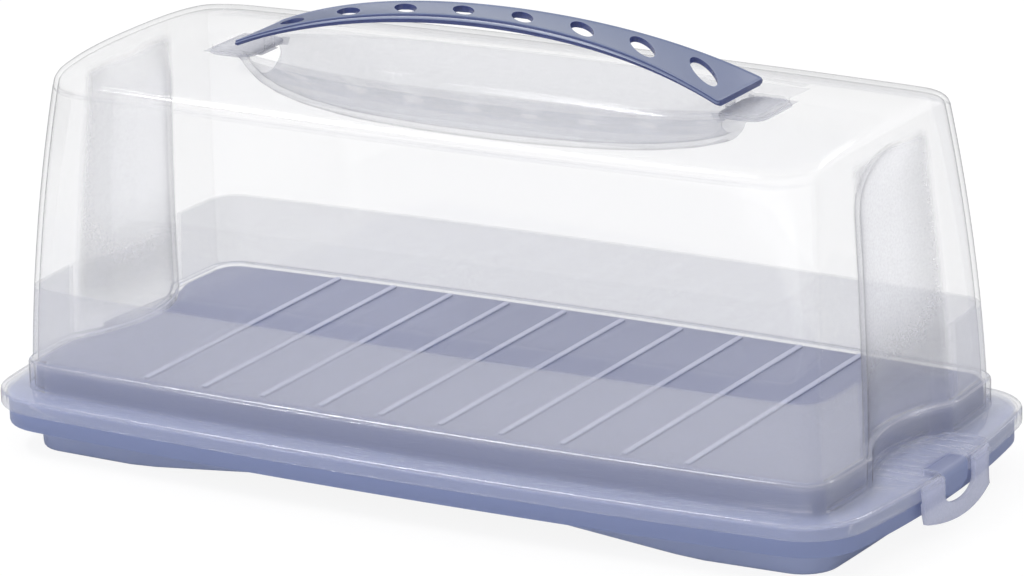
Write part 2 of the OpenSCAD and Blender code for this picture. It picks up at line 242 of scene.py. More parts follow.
def satinAndPaintedShade(tree, spot, shares, look):
    # satin left by the mould, with painted shade: how much there is at a place (a band by height, the end
    # recesses, the finger well and the slots), and its colour; the slots' grey satin is painted shade, the
    # finger well's is partly painted shade
    length = addNode(tree, "ShaderNodeMath", [(0, spot, 0)], operation="ABSOLUTE")
    across = addNode(tree, "ShaderNodeMath", [(0, spot, 1)], operation="ABSOLUTE")
    leaning = addNode(tree, "ShaderNodeMath", [(0, spot, 2), (1, satinEdges["sideLean"]), (2, across, 0)],
                      operation="MULTIPLY_ADD")
    masks = {}
    for key, box in satinPlaces.items():
        sides = []
        for (source, output), (middle, reach) in zip(((length, 0), (spot, 1), (spot, 2)), box):
            limits = [(0, source, output), (1, middle * mm), (2, reach * mm)]
            sides.append(addNode(tree, "ShaderNodeMath", limits, operation="COMPARE"))
        masks[key] = overlap(tree, *sides)
    for key, source, output, kind in (("foot", spot, 2, "SMOOTHSTEP"), ("crown", spot, 2, "SMOOTHSTEP"),
                                      ("rise", spot, 2, "SMOOTHSTEP"), ("shade", leaning, 0, "SMOOTHSTEP"),
                                      ("sides", leaning, 0, "LINEAR")):
        start, end, low = satinEdges[key]
        masks[key] = addNode(tree, "ShaderNodeMapRange", [("Value", source, output)], interpolation_type=kind,
                             From_Min=start * mm, From_Max=end * mm, To_Min=low)
    # elsewhere on the wall the band holds, and each place adds its own share
    outside = addNode(tree, "ShaderNodeMath", [(0, 1), (1, masks["recess"], 0)], operation="SUBTRACT")
    amount = addNode(tree, "ShaderNodeMath", [(0, outside, 0), (1, shares, 1)], operation="MULTIPLY")
    soft = overlap(tree, masks["recess"], masks["foot"], masks["crown"], masks["sides"])
    for key, mask in (("recess", soft), ("well", masks["well"]), ("pocket", masks["pocket"])):
        amount = addNode(tree, "ShaderNodeMath", [(0, mask, 0), (1, look[key]), (2, amount, 0)],
                         operation="MULTIPLY_ADD")
    # painted shade: the recess is painted darker low down and towards its sides, paler high up and towards its
    # middle
    pale = overlap(tree, masks["shade"], masks["rise"])
    inside = addNode(tree, "ShaderNodeMix", [(0, pale, 0), (6, toLinear(look["recessPaintedShade"])),
                                             (7, toLinear(look["recessHigh"]))], data_type="RGBA")
    colour = addNode(tree, "ShaderNodeMix", [(0, masks["recess"], 0), (6, toLinear(look["satin"])),
                                             (7, inside, 2)], data_type="RGBA")
    return amount, colour


def clearMouldedPlastic(name, look):
    # clear moulded polypropylene: a see-through wall with a soft gloss, satin where the mould is spark-eroded,
    # and painted shade in the recesses, the finger well and the slots
    material, tree = newMaterial(name)
    place = addNode(tree, "ShaderNodeTexCoord")
    spot = addNode(tree, "ShaderNodeSeparateXYZ", [(0, place, "Object")])
    tallest = look["shares"][-1][0]
    height = addNode(tree, "ShaderNodeMath", [(0, spot, 2), (1, tallest * mm)], operation="DIVIDE")
    ramp = addNode(tree, "ShaderNodeValToRGB", [(0, height, 0)],
                   stops=[(z / tallest, (solid, satin, 0, 1)) for z, solid, satin in look["shares"]])
    shares = addNode(tree, "ShaderNodeSeparateColor", [(0, ramp, 0)])
    # the plastic flowed unevenly over about 45 mm; the mould's 0.1 mm spark-eroded grain is drawn at 0.9 mm
    flow = addNode(tree, "ShaderNodeTexNoise", [("Vector", place, "Object")], Scale=1 / (45 * mm), Detail=1.0)
    grain = addNode(tree, "ShaderNodeTexNoise", [("Vector", place, "Object")], Scale=1 / (0.9 * mm), Detail=1.0)
    wave = addNode(tree, "ShaderNodeBump", [("Height", flow, 0)], Strength=look["wave"], Distance=0.4 * mm)
    face = addNode(tree, "ShaderNodeBump", [("Height", grain, 0), ("Normal", wave, 0)], Strength=0.03,
                   Distance=0.03 * mm)
    wall = clearWall(tree, place, shares, flow, wave, look)
    amount, colour = satinAndPaintedShade(tree, spot, shares, look)
    speck = addNode(tree, "ShaderNodeMapRange", [("Value", grain, 0)], To_Min=0.8, To_Max=1.2)
    speckled = overlap(tree, amount, speck)
    facing = addNode(tree, "ShaderNodeBsdfPrincipled", [("Normal", face, 0), ("Base Color", colour, 2)],
                     Roughness=0.55, IOR=look["ior"])
    # satin plastic is lit from behind as well
    through = addNode(tree, "ShaderNodeBsdfTranslucent", [("Color", colour, 2)])
    satin = addNode(tree, "ShaderNodeMixShader", [(0, 0.45), (1, facing, 0), (2, through, 0)])
    skin = addNode(tree, "ShaderNodeMixShader", [(0, speckled, 0), (1, wall, 0), (2, satin, 0)])
    # its shadow stays faint
    lampSide = addNode(tree, "ShaderNodeBsdfTransparent", Color=toLinear("#F9F9FB"))
    path = addNode(tree, "ShaderNodeLightPath")
    mix = addNode(tree, "ShaderNodeMixShader", [(0, path, "Is Shadow Ray"), (1, skin, 0), (2, lampSide, 0)])
    addNode(tree, "ShaderNodeOutputMaterial", [("Surface", mix, 0)])
    return material


# colours by height in mm, partly painted light: the tray's top is one lit wall and is painted paler, its skirt
# is two walls deep and looks deeper, its foot is painted much paler as painted light under the skirt, and its
# rib tops carry a painted highlight
trayPlastic = {"light": "#8085A0", "deep": "#8690B4", "foot": "#C4CEF0", "rib": "#B4B8CE", "uprightShadeColour": "#6A769E",
               "uprightShadeShare": 0.45, "roughness": 0.34, "grain": 1.4,
               "levels": ((0, "foot"), (7.4, "foot"), (8.2, "deep"), (20.5, "deep"), (24, "light"),
                          (33.35, "light"), (33.7, "rib"))}
# the strap is painted deeper towards its lower ends, and its upright faces take the painted shade in full
strapPlastic = {"light": "#747F9A", "deep": "#6E7898", "uprightShadeColour": "#47507E", "uprightShadeShare": 1.0, "roughness": 0.24,
                "grain": 1.1, "levels": ((0, "deep"), (150, "deep"), (170, "light"))}


def tintedMouldedPlastic(name, look):
    # tinted moulded polypropylene: grey-blue, a little light goes in, satin face with a fine spark-eroded grain
    material, tree = newMaterial(name)
    place = addNode(tree, "ShaderNodeTexCoord")
    cloud = addNode(tree, "ShaderNodeTexNoise", [("Vector", place, "Object")], Scale=1 / (38 * mm), Detail=2.0)
    height = addNode(tree, "ShaderNodeSeparateXYZ", [(0, place, "Object")])
    uneven = addNode(tree, "ShaderNodeMath", [(0, cloud, 0), (1, 0.3 * mm), (2, height, 2)],
                     operation="MULTIPLY_ADD")
    tallest = look["levels"][-1][0]
    share = addNode(tree, "ShaderNodeMapRange", [("Value", uneven, 0)], From_Min=0.0, From_Max=tallest * mm)
    ramp = addNode(tree, "ShaderNodeValToRGB", [(0, share, 0)],
                   stops=[(z / tallest, toLinear(look[key])) for z, key in look["levels"]])
    # painted shade: upright faces are painted darker, towards the shade colour
    facing = addNode(tree, "ShaderNodeSeparateXYZ", [(0, place, "Normal")])
    uprightShadeShare = addNode(tree, "ShaderNodeMapRange", [("Value", facing, 2)], From_Min=0.35, From_Max=0.0,
                      To_Min=0.0, To_Max=look["uprightShadeShare"])
    colour = addNode(tree, "ShaderNodeMix", [(0, uprightShadeShare, 0), (6, ramp, 0), (7, toLinear(look["uprightShadeColour"]))],
                     data_type="RGBA")
    # the grain is about 0.1 mm on the real part; it is drawn coarser so that it shows
    grain = addNode(tree, "ShaderNodeTexNoise", [("Vector", place, "Object")], Scale=1 / (look["grain"] * mm),
                    Detail=2.0)
    satin = addNode(tree, "ShaderNodeMapRange", [("Value", grain, 0)], To_Min=look["roughness"] * 0.88,
                    To_Max=look["roughness"] * 1.12)
    face = addNode(tree, "ShaderNodeBump", [("Height", grain, 0)], Strength=0.08, Distance=0.05 * mm)
    plastic = addNode(tree, "ShaderNodeBsdfPrincipled",
                      [("Base Color", colour, 2), ("Roughness", satin, 0), ("Normal", face, 0)], IOR=1.49,
                      Subsurface_Weight=0.25, Subsurface_Radius=(0.8, 0.9, 1.0), Subsurface_Scale=3 * mm)
    addNode(tree, "ShaderNodeOutputMaterial", [("Surface", plastic, 0)])
    return material


clearHood = clearMouldedPlastic("clearMouldedPolypropyleneHood", hoodPlastic)
clearClip = clearMouldedPlastic("clearMouldedPolypropyleneClip", clipPlastic)
blueTray = tintedMouldedPlastic("tintedMouldedPolypropyleneTray", trayPlastic)
blueStrap = tintedMouldedPlastic("tintedMouldedPolypropyleneStrap", strapPlastic)
print("materials made")


def finishPiece(o, name, material, body, slotName, *nodes):
    o.name = o.data.name = name
    o.data.materials.clear()
    o.data.materials.append(material)
    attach(o, body)
    if nodes:
        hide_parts(*nodes)
    print("piece:", name, len(o.data.polygons), "faces")


# plan outlines: rounded rectangles with bowed sides, every ring with the same columns of points

rim = {"halfX": 180, "halfY": 85, "corner": 24, "bowX": 4, "bowY": 4.5}
hood = {"halfX": 164, "halfY": 72.5, "corner": 10, "cornerTop": 17, "bowX": 1.4, "bowY": 4, "wall": 1.8,
        "step": 33.6, "wallTop": 135, "top": 144, "topHalfX": 158, "topHalfY": 66, "lean": 3.06, "leanMore": 4,
        "round": 5, "endCrown": 1.4, "sideCrown": 8.4}
foot = {"halfX": 163, "halfY": 70, "corner": 13, "bowX": 1, "bowY": 2.5, "arch": 5.5, "archEnd": 113,
        "archRise": 53}
recess = {"half": 34, "depth": 10.4, "topHalf": 26.5, "topDepth": 7.6, "tall": 106, "setBack": 0.2, "soft": 1.1,
          "archFrom": 116, "archTop": 134.6}
# points along a quarter: shares of the recess's half width, then steps beside it, round the corner and along
# the side
quarter = {"recess": (0, .15, .3, .45, .58, .7, .8, .88, .94, .98, 1.02, 1.07, 1.14), "beside": 3, "corner": 8,
           "side": 14}
endPoints = len(quarter["recess"]) + quarter["beside"]
farOut = 1000.0  # mm; where there is no recess


def quarterPlan(plan, inset, r):
    hx, hy = plan["halfX"] - inset, plan["halfY"] - inset
    cx, cy = hx - r - plan["bowX"], hy - r - plan["bowY"]
    endArc = (plan["bowX"] ** 2 + cy ** 2) / (2 * plan["bowX"])
    sideArc = (plan["bowY"] ** 2 + cx ** 2) / (2 * plan["bowY"])
    a0, a1 = math.asin(cy / endArc), math.pi / 2 - math.asin(cx / sideArc)
    yEnd = (endArc + r) * math.sin(a0)
    h = min(recess["half"], yEnd / 1.25)
    ys = [share * h for share in quarter["recess"]]
    ys += [ys[-1] + (yEnd - ys[-1]) * k / (quarter["beside"] + 1) for k in range(1, quarter["beside"] + 1)]
    points = [(hx - r - endArc + math.sqrt((endArc + r) ** 2 - y * y), y) for y in ys]
    for k in range(quarter["corner"] + 1):
        a = a0 + (a1 - a0) * k / quarter["corner"]
        points.append((cx + r * math.cos(a), cy + r * math.sin(a)))
    for k in range(1, quarter["side"] + 1):
        a = a1 + (math.pi / 2 - a1) * k / quarter["side"]
        points.append(((sideArc + r) * math.cos(a), hy - r - sideArc + (sideArc + r) * math.sin(a)))
    return points


def fullLoop(q):
    second = [(-x, y) for x, y in reversed(q)][1:]
    third = [(-x, -y) for x, y in q][1:]
    fourth = [(x, -y) for x, y in reversed(q)][1:-1]
    return q + second + third + fourth


def lean(z):  # how far the hood wall leans in at a height
    u = (z - hood["step"]) / 100
    return hood["lean"] * u + hood["leanMore"] * u * u


def recessFace(y, z, grow):  # x of the end recess at a height; grow pushes its face inward
    t = (z - hood["step"]) / recess["tall"]
    rise = max((z - recess["archFrom"]) / (recess["archTop"] - recess["archFrom"]), 0)
    if rise >= 1:
        return farOut
    # it closes in an arch just under the top's rounded edge
    depth = (recess["depth"] + (recess["topDepth"] - recess["depth"]) * t) * (1 - rise ** 2)
    half = (recess["half"] + (recess["topHalf"] - recess["half"]) * t) * math.sqrt(1 - rise ** 2)
    r = (half * half + depth * depth) / (2 * depth)
    if abs(y) >= r + grow:
        return farOut
    wallX = hood["halfX"] - recess["setBack"] - (lean(z) if z > hood["step"] else 0)
    return wallX - depth + r - math.sqrt((r + grow) ** 2 - y * y)


def softMin(a, b, k):
    h = min(max(0.5 + 0.5 * (b - a) / k, 0), 1)
    return b * (1 - h) + a * h - k * h * (1 - h)


def planRing(plan, inset, z, corner=None, grow=None, recessZ=None):
    q = quarterPlan(plan, inset, max(plan["corner"] - inset, 3) if corner is None else corner)
    if grow is not None:
        zr = z if recessZ is None else recessZ
        q = [(softMin(x, recessFace(y, zr, grow), recess["soft"]), y) if i < endPoints else (x, y)
             for i, (x, y) in enumerate(q)]
    return [(x, y, z) for x, y in fullLoop(q)]


def shellFromRings(name, rings, firstCentre=None, lastCentre=None):
    # a skin of quads over rings of equal length; a centre point closes an end
    bm = bmesh.new()
    rows = [[bm.verts.new(Vector(p) * mm) for p in ring] for ring in rings]
    n = len(rows[0])
    for low, high in zip(rows, rows[1:]):
        for j in range(n):
            k = (j + 1) % n
            bm.faces.new((low[j], low[k], high[k], high[j]))
    for centre, row, flip in ((firstCentre, rows[0], True), (lastCentre, rows[-1], False)):
        if centre is not None:
            c = bm.verts.new(Vector(centre) * mm)
            for j in range(n):
                a, b = row[j], row[(j + 1) % n]
                bm.faces.new((b, a, c) if flip else (a, b, c))
    mesh = bpy.data.meshes.new(name)
    bm.to_mesh(mesh)
    bm.free()
    o = bpy.data.objects.new(name, mesh)
    scene.collection.objects.link(o)
    return o


# hood: lip, rim, band, walls with end recesses, crowned top with the finger well

# outlines: the lip as (inset of the rim, height), the band under the step as (inset of the hood wall, height)
lipOutline = {"outer": ((.3, 17), (0, 17.4), (0, 21.9), (.12, 22.35), (.45, 22.68), (.95, 22.8)),
              "inner": ((1.5, 17), (1.8, 17.4), (1.8, 20.4), (1.9, 20.75), (2.3, 21))}
bandOutline = {"outer": ((-2.4, 22.8), (-1.85, 22.95), (-1.6, 23.5), (-1.6, 32.1), (-1.5, 32.7), (-1.15, 33.2),
                         (-.55, 33.5), (-.05, 33.6), (.05, 33.9)),
               "inner": ((-.4, 21), (.05, 21.2), (.2, 21.7), (.2, 30.9), (.35, 31.4), (.8, 31.75), (1.5, 31.8),
                         (1.75, 32.3))}
wallHeights = (34.6, 38, 45, 55, 65, 75, 85, 95, 105, 112, 116, 119, 122, 124.5, 127, 129, 131, 132.5, 133.8,
               134.6)
# the well is a boat-shaped lens, drawn as (share of the lens, depth below the top)
well = {"halfX": 108, "halfY": 28.8, "endPower": 0.83, "sidePower": 1.12, "edge": 1.03,
        "outline": ((1.012, .75), (1.002, 1.4), (.99, 2.6), (.97, 5), (.935, 8), (.9, 11), (.85, 13.6),
                    (.79, 15.5), (.72, 16.9), (.64, 17.8), (.55, 18.3), (.46, 18.6), (.34, 18.7), (.2, 18.75),
                    (.08, 18.8))}


def domeZ(x, y):
    return (hood["top"] - hood["endCrown"] * (x / hood["halfX"]) ** 2
            - hood["sideCrown"] * (abs(y) / hood["halfY"]) ** 3)


def lensPoint(a, k, grow):
    c, s = math.cos(a), math.sin(a)
    return ((well["halfX"] * k + grow) * math.copysign(abs(c) ** well["endPower"], c),
            (well["halfY"] * k + grow) * math.copysign(abs(s) ** well["sidePower"], s))


def hoodRows(t):  # t is 0 for the outer face, the wall thickness for the inner one
    side = "inner" if t else "outer"
    rows = [planRing(rim, d, z) for d, z in lipOutline[side]]
    for d, z in bandOutline[side]:
        # the recess face keeps its place above the step, and stands out with the band below it
        rows.append(planRing(hood, d, z, grow=min(d, t), recessZ=min(z, hood["step"])))
    leanTop = lean(hood["wallTop"])
    for z in wallHeights:
        w = lean(z)
        corner = hood["corner"] + (hood["cornerTop"] - hood["corner"]) * w / leanTop - t
        rows.append(planRing(hood, w + t, z, corner=max(corner, 4), grow=t))
    # rounded edge between wall and top
    for step in range(0, 91, 15):
        a, r = math.radians(step), hood["round"] - t
        v = r * (1 - math.cos(a))
        ring = planRing(hood, leanTop + t + v, 0, corner=hood["cornerTop"] - t - v * 0.45)
        rows.append([(x, y, domeZ(x, y) - t - r * (1 - math.sin(a))) for x, y, _ in ring])
    # crowned top, from its edge to the well
    edge = rows[-1]
    angles = [math.atan2(y / hood["topHalfY"], x / hood["topHalfX"]) for x, y, _ in edge]
    lens = [lensPoint(a, well["edge"], t) for a in angles]
    for k in (.1, .22, .36, .52, .68, .82, .92, 1):
        inward = [(x + (lx - x) * k, y + (ly - y) * k) for (x, y, _), (lx, ly) in zip(edge, lens)]
        rows.append([(x, y, domeZ(x, y) - t) for x, y in inward])
    for k, depth in well["outline"]:
        rows.append([(*lensPoint(a, k, t), hood["top"] - depth - t) for a in angles])
    return rows


wellFloor = hood["top"] - well["outline"][-1][1]
hoodShell = shellFromRings("hoodShell", hoodRows(hood["wall"])[::-1] + hoodRows(0),
                           (0, 0, wellFloor - hood["wall"]), (0, 0, wellFloor))

# slots for the strap's ends and notches for the tongues are cut through: centre, size, corner radius
openings = {"slot": ((104, 0, 137), (17, 26, 24), 4.8), "notch": ((178, 0, 20), (12, 22.4, 12), 0.8)}


def roundedCutter(name, centre, size, corner):
    deselectAll()
    bpy.ops.mesh.primitive_cube_add(size=1, location=Vector(centre) * mm)
    o = bpy.context.object
    o.scale = Vector(size) * mm
    settle(o)
    editMode(o, "EDGE")
    selectWhere(o, lambda c, n: abs(n.z) > 0.9, "edges")
    bpy.ops.mesh.bevel(offset=corner * mm, segments=8)
    bpy.ops.object.mode_set(mode="OBJECT")
    o.name = name
    return o


cutters = {}
for key, (centre, size, corner) in openings.items():
    cutters[key] = roundedCutter(key, centre, size, corner)
    cutters[key + "Left"] = mirroredCopy(cutters[key], key + "Left")
for cutter in cutters.values():
    applyModifier(hoodShell, "BOOLEAN", operation="DIFFERENCE", solver="EXACT", object=cutter)

# grip plates on the rim inside the recesses: a thin raised field with ribs across it; both reach from so far
# in front of the recess face (as its grow, so negative) to so far inside the rim's edge
grip = {"half": 28.2, "foot": 22.4, "top": 23.55, "plateReach": (-2.6, 1.2), "ribsEachSide": 4, "ribPitch": 6.4,
        "ribWidth": 1.3, "ribTop": 24.2, "ribReach": (-2.9, 2.6), "ribRound": 0.4, "bowHalf": 57}


def rimEdgeX(y, inset):
    arc = (rim["bowX"] ** 2 + grip["bowHalf"] ** 2) / (2 * rim["bowX"]) + rim["corner"]
    return rim["halfX"] - inset - arc + math.sqrt(arc ** 2 - y * y)


def gripPlate():
    deselectAll()
    bpy.ops.mesh.primitive_grid_add(x_subdivisions=1, y_subdivisions=28, size=1, location=(0, 0, 0))
    o = bpy.context.object
    inner, outer = grip["plateReach"]

    def stretched(x, y, z):
        # the one metre grid is laid between the recess face and the rim's edge
        y = y / 500 * grip["half"]
        return rimEdgeX(y, outer) if x > 0 else recessFace(y, hood["step"], inner), y, grip["foot"]
    shapeVertices(o, stretched)
    editMode(o)
    bpy.ops.mesh.select_all(action="SELECT")
    rise = (grip["top"] - grip["foot"]) * mm
    bpy.ops.mesh.extrude_region_move(TRANSFORM_OT_translate={"value": (0, 0, rise)})
    bpy.ops.object.mode_set(mode="OBJECT")
    cleanShell(o)
    return o


def gripRib(y):
    x0, x1 = recessFace(y, hood["step"], grip["ribReach"][0]), rimEdgeX(y, grip["ribReach"][1])
    middle = ((x0 + x1) / 2, y, (grip["foot"] + grip["ribTop"]) / 2)
    deselectAll()
    bpy.ops.mesh.primitive_cube_add(size=1, location=Vector(middle) * mm)
    o = bpy.context.object
    o.scale = Vector((x1 - x0, grip["ribWidth"], grip["ribTop"] - grip["foot"])) * mm
    settle(o)
    editMode(o, "EDGE")
    selectWhere(o, lambda c, n: c.z > grip["top"], "edges")
    bpy.ops.mesh.bevel(offset=grip["ribRound"] * mm, segments=2)
    bpy.ops.object.mode_set(mode="OBJECT")
    return o


plate = gripPlate()
for k in range(-grip["ribsEachSide"], grip["ribsEachSide"] + 1):
    rib = gripRib(k * grip["ribPitch"])
    applyModifier(plate, "BOOLEAN", operation="UNION", solver="EXACT", object=rib)
    bpy.data.objects.remove(rib)
applyModifier(plate, "BOOLEAN", operation="DIFFERENCE", solver="EXACT", object=cutters["notch"])
for part in (plate, mirroredCopy(plate, "gripPlateLeft")):
    applyModifier(hoodShell, "BOOLEAN", operation="UNION", solver="EXACT", object=part)
    bpy.data.objects.remove(part)
for cutter in cutters.values():
    bpy.data.objects.remove(cutter)
smooth(hoodShell)
finishPiece(hoodShell, "clearHood", clearHood, "hood", "clear_hood", "hood")


# tray: skirt, rim, raised plateau with the end recesses in its wall, and the foot below

# outlines: the skirt as (inset from its face, height), the plateau as (gap to the hood wall, height)
tray = {"rimInset": 2.8, "seat": 20.97, "top": 33, "wall": 2.2, "recessGap": 1.6, "gapFrom": 30, "gapOver": 1.3,
        "outer": ((.5, 10), (.15, 10.1), (0, 10.5), (0, 19.9), (.1, 20.4), (.4, 20.8), (.95, 20.97)),
        "inner": ((-.5, 10), (-.15, 10.1), (0, 10.5), (0, 17.8), (.15, 18.4), (.7, 18.77)),
        "plateau": ((1.05, 29.2), (1.2, 30.3), (1.75, 31.6), (2.7, 32.55), (4.1, 32.95), (5.2, 33))}


def trayRows(t):
    rows = [planRing(rim, tray["rimInset"] + t + a, z) for a, z in tray["inner" if t else "outer"]]
    low = tray["seat"] - t
    levels = [(.2, low), (.7, low + .15), (.8, low + .6)] + [(v, z - t) for v, z in tray["plateau"]]
    for v, z in levels:
        # the top edge also clears the hood's recess, which comes further in above the step
        more = tray["recessGap"] * min(max((z + t - tray["gapFrom"]) / tray["gapOver"], 0), 1)
        rows.append(planRing(hood, v + t, z, corner=max(hood["corner"] - (v + t) * 0.8, 5), grow=v + t + more,
                             recessZ=hood["step"]))
    edge = rows[-1]
    for k in (.12, .3, .5, .7, .88):
        rows.append([(x * (1 - k), y * (1 - k), z) for x, y, z in edge])
    return rows


trayShell = shellFromRings("trayShell", trayRows(tray["wall"])[::-1] + trayRows(0),
                           (0, 0, tray["top"] - tray["wall"]), (0, 0, tray["top"]))
smooth(trayShell)
finishPiece(trayShell, "trayShell", blueTray, "base", "blue_tray", "base_tray")


def footRows(t):
    def archZ(x):
        return foot["arch"] * min(max((foot["archEnd"] - abs(x)) / foot["archRise"], 0), 1)
    rows = [planRing(foot, inset + t, z) for inset, z in ((-.8, 19.5), (-.5, 12), (-.3, 8))]
    # the rounded rim it stands on
    for inset, rise in ((0, 1.1), (.12, .5), (.4, .12), (.9, 0)):
        ring = planRing(foot, t - inset if t else inset, 0)
        rows.append([(x, y, archZ(x) + rise) for x, y, _ in ring])
    return rows


footRing = shellFromRings("footRing", footRows(0) + footRows(tray["wall"])[::-1])
flipNormals(footRing)
smooth(footRing)
finishPiece(footRing, "trayFoot", blueTray, "base", "blue_tray")

# ribs across the plateau, which show through the hood
ribs = {"count": 10, "pitch": 24.5, "half": 66, "width": 2.4, "height": 1.6, "top": 33.8, "endRound": 1.05,
        "topRound": 0.3}


def trayRib():
    deselectAll()
    bpy.ops.mesh.primitive_cube_add(size=1, location=(0, 0, (ribs["top"] - ribs["height"] / 2) * mm))
    o = bpy.context.object
    o.scale = (ribs["width"] * mm, 2 * ribs["half"] * mm, ribs["height"] * mm)
    settle(o)
    editMode(o, "EDGE")
    selectWhere(o, lambda c, n: abs(n.z) > 0.9, "edges")
    bpy.ops.mesh.bevel(offset=ribs["endRound"] * mm, segments=4)
    selectWhere(o, lambda c, n: c.z > ribs["top"] - 0.01, "edges")
    bpy.ops.mesh.bevel(offset=ribs["topRound"] * mm, segments=3)
    bpy.ops.object.mode_set(mode="OBJECT")
    return o


first = trayRib()
allRibs = []
for i in range(ribs["count"]):
    pick(first)
    bpy.ops.object.duplicate(linked=False)
    rib = bpy.context.object
    rib.location.x = (i - (ribs["count"] - 1) / 2) * ribs["pitch"] * mm
    settle(rib)
    allRibs.append(rib)
bpy.data.objects.remove(first)
pick(*allRibs)
bpy.ops.object.join()
ribField = bpy.context.object
smooth(ribField)
finishPiece(ribField, "trayRibs", blueTray, "base", "blue_tray")

# tongues: a bent tab out over the tray rim, with a D shaped face; bend is (out, down) from step to step
tongue = {"half": 10.3, "root": 172.6, "flat": 4.6, "thick": 1.9, "top": 22.45,
          "bend": ((1.2, -.1), (.7, -.5), (.4, -.9), (.1, -2.2), (0, -2.75)), "drop": 3.72, "dropSteps": 4,
          "edgeRadius": 0.3}


def trayTongue():
    deselectAll()
    bpy.ops.mesh.primitive_grid_add(x_subdivisions=2, y_subdivisions=20, size=1)
    o = bpy.context.object
    w = tongue["half"]
    # the flat sheet lies at the root, and its outer edge is drawn out and down
    shapeVertices(o, lambda x, y, z: (tongue["root"] + (x + 500) / 1000 * tongue["flat"], y / 500 * w,
                                      tongue["top"]))
    editMode(o, "EDGE")

    def drawEdge(dx, dz):
        corners = [v.co / mm for v in bmesh.from_edit_mesh(o.data).verts]
        edgeX = max(c.x for c in corners)
        lowest = min(c.z for c in corners if c.x > edgeX - 0.02)
        selectWhere(o, lambda c, n: c.x > edgeX - 0.02 and c.z < lowest + 0.02 and abs(n.y) > 0.9, "edges")
        bpy.ops.mesh.extrude_region_move(TRANSFORM_OT_translate={"value": (dx * mm, 0, dz * mm)})
    for dx, dz in tongue["bend"]:
        drawEdge(dx, dz)
    straight = min(v.co.z for v in bmesh.from_edit_mesh(o.data).verts) / mm
    for k in range(tongue["dropSteps"]):
        drawEdge(0, -tongue["drop"] / tongue["dropSteps"])
    bpy.ops.object.mode_set(mode="OBJECT")

    def dShape(x, y, z):
        if z < straight - 0.01:
            return x, y, straight - (straight - z) * math.sqrt(max(1 - (y / w) ** 2, 0))
        return x, y, z
    shapeVertices(o, dShape)
    cleanShell(o)
    # an open sheet: its upper face has to look up before it gets its thickness
    if max(o.data.polygons, key=lambda f: f.center.z).normal.z < 0:
        flipNormals(o)
    applyModifier(o, "SOLIDIFY", thickness=tongue["thick"] * mm, offset=-1)
    roundEdges(o, tongue["edgeRadius"], 50)
    smooth(o)
    return o


tongueRight = trayTongue()
tongueLeft = mirroredCopy(tongueRight, "tongueLeft")
finishPiece(tongueRight, "tongueRight", blueTray, "base", "blue_tray")
finishPiece(tongueLeft, "tongueLeft", blueTray, "base", "blue_tray")


# clips: the frame's own solid, merged, with its edges rounded as the mould leaves them
clip = {"merge": 0.02, "flatWithin": 1.5, "edgeRadius": 0.35}


def clipFrom(node, name, body):
    pick(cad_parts[node])
    bpy.ops.object.duplicate(linked=False)
    o = bpy.context.object
    o.parent = None
    for key in list(o.keys()):
        del o[key]
    editMode(o)
    bpy.ops.mesh.select_all(action="SELECT")
    bpy.ops.mesh.remove_doubles(threshold=clip["merge"] * mm)
    bpy.ops.mesh.dissolve_limited(angle_limit=math.radians(clip["flatWithin"]))
    bpy.ops.object.mode_set(mode="OBJECT")
    roundEdges(o, clip["edgeRadius"], 40)
    smooth(o)
    finishPiece(o, name, clearClip, body, "clear_clip", node)


clipFrom("latch_tab_right", "clipRight", "clip_right")
clipFrom("latch_tab_left", "clipLeft", "clip_left")


# strap handle: an open channel along an arch, its flanges lower towards the ends, with slanted oval holes

# section is (in from the outer edge, height over the crest): flange foot, bead, rolled top edge, flat top
strap = {"crest": 164.8, "half": 98.5, "halfMid": 9.4, "halfEnd": 17.4, "edge": 3.6, "edgeEnd": 1.8, "web": 2.2,
         "webThinner": 0.15, "skin": 0.35, "corner": 1.4, "endLip": 0.21, "lipLong": 0.9, "fall": 14.75,
         "fallMore": 3.08, "ends": (0, .12, .45, .9), "columns": 80,
         "section": ((1.5, -3.3), (1.35, -3.6), (.75, -3.6), (.5, -3.4), (.5, -2.65), (.1, -2.2), (0, -2),
                     (.1, -1.8), (.75, -1.15), (.7, -.5), (.8, -.15), (1.05, 0), (1.35, -.02), (1.7, -.28),
                     (2.2, -.35))}
# the holes grow towards the ends, by so much for each pitch
holes = {"count": 8, "pitch": 24, "halfLong": 6.6, "longer": 1.2, "halfWide": 3.4, "wider": 0.12, "slant": -45,
         "cutMiddle": 150, "cutTall": 40}


def strapTop(x):
    return strap["crest"] - strap["fall"] * (x / 100) ** 2 - strap["fallMore"] * (x / 100) ** 4


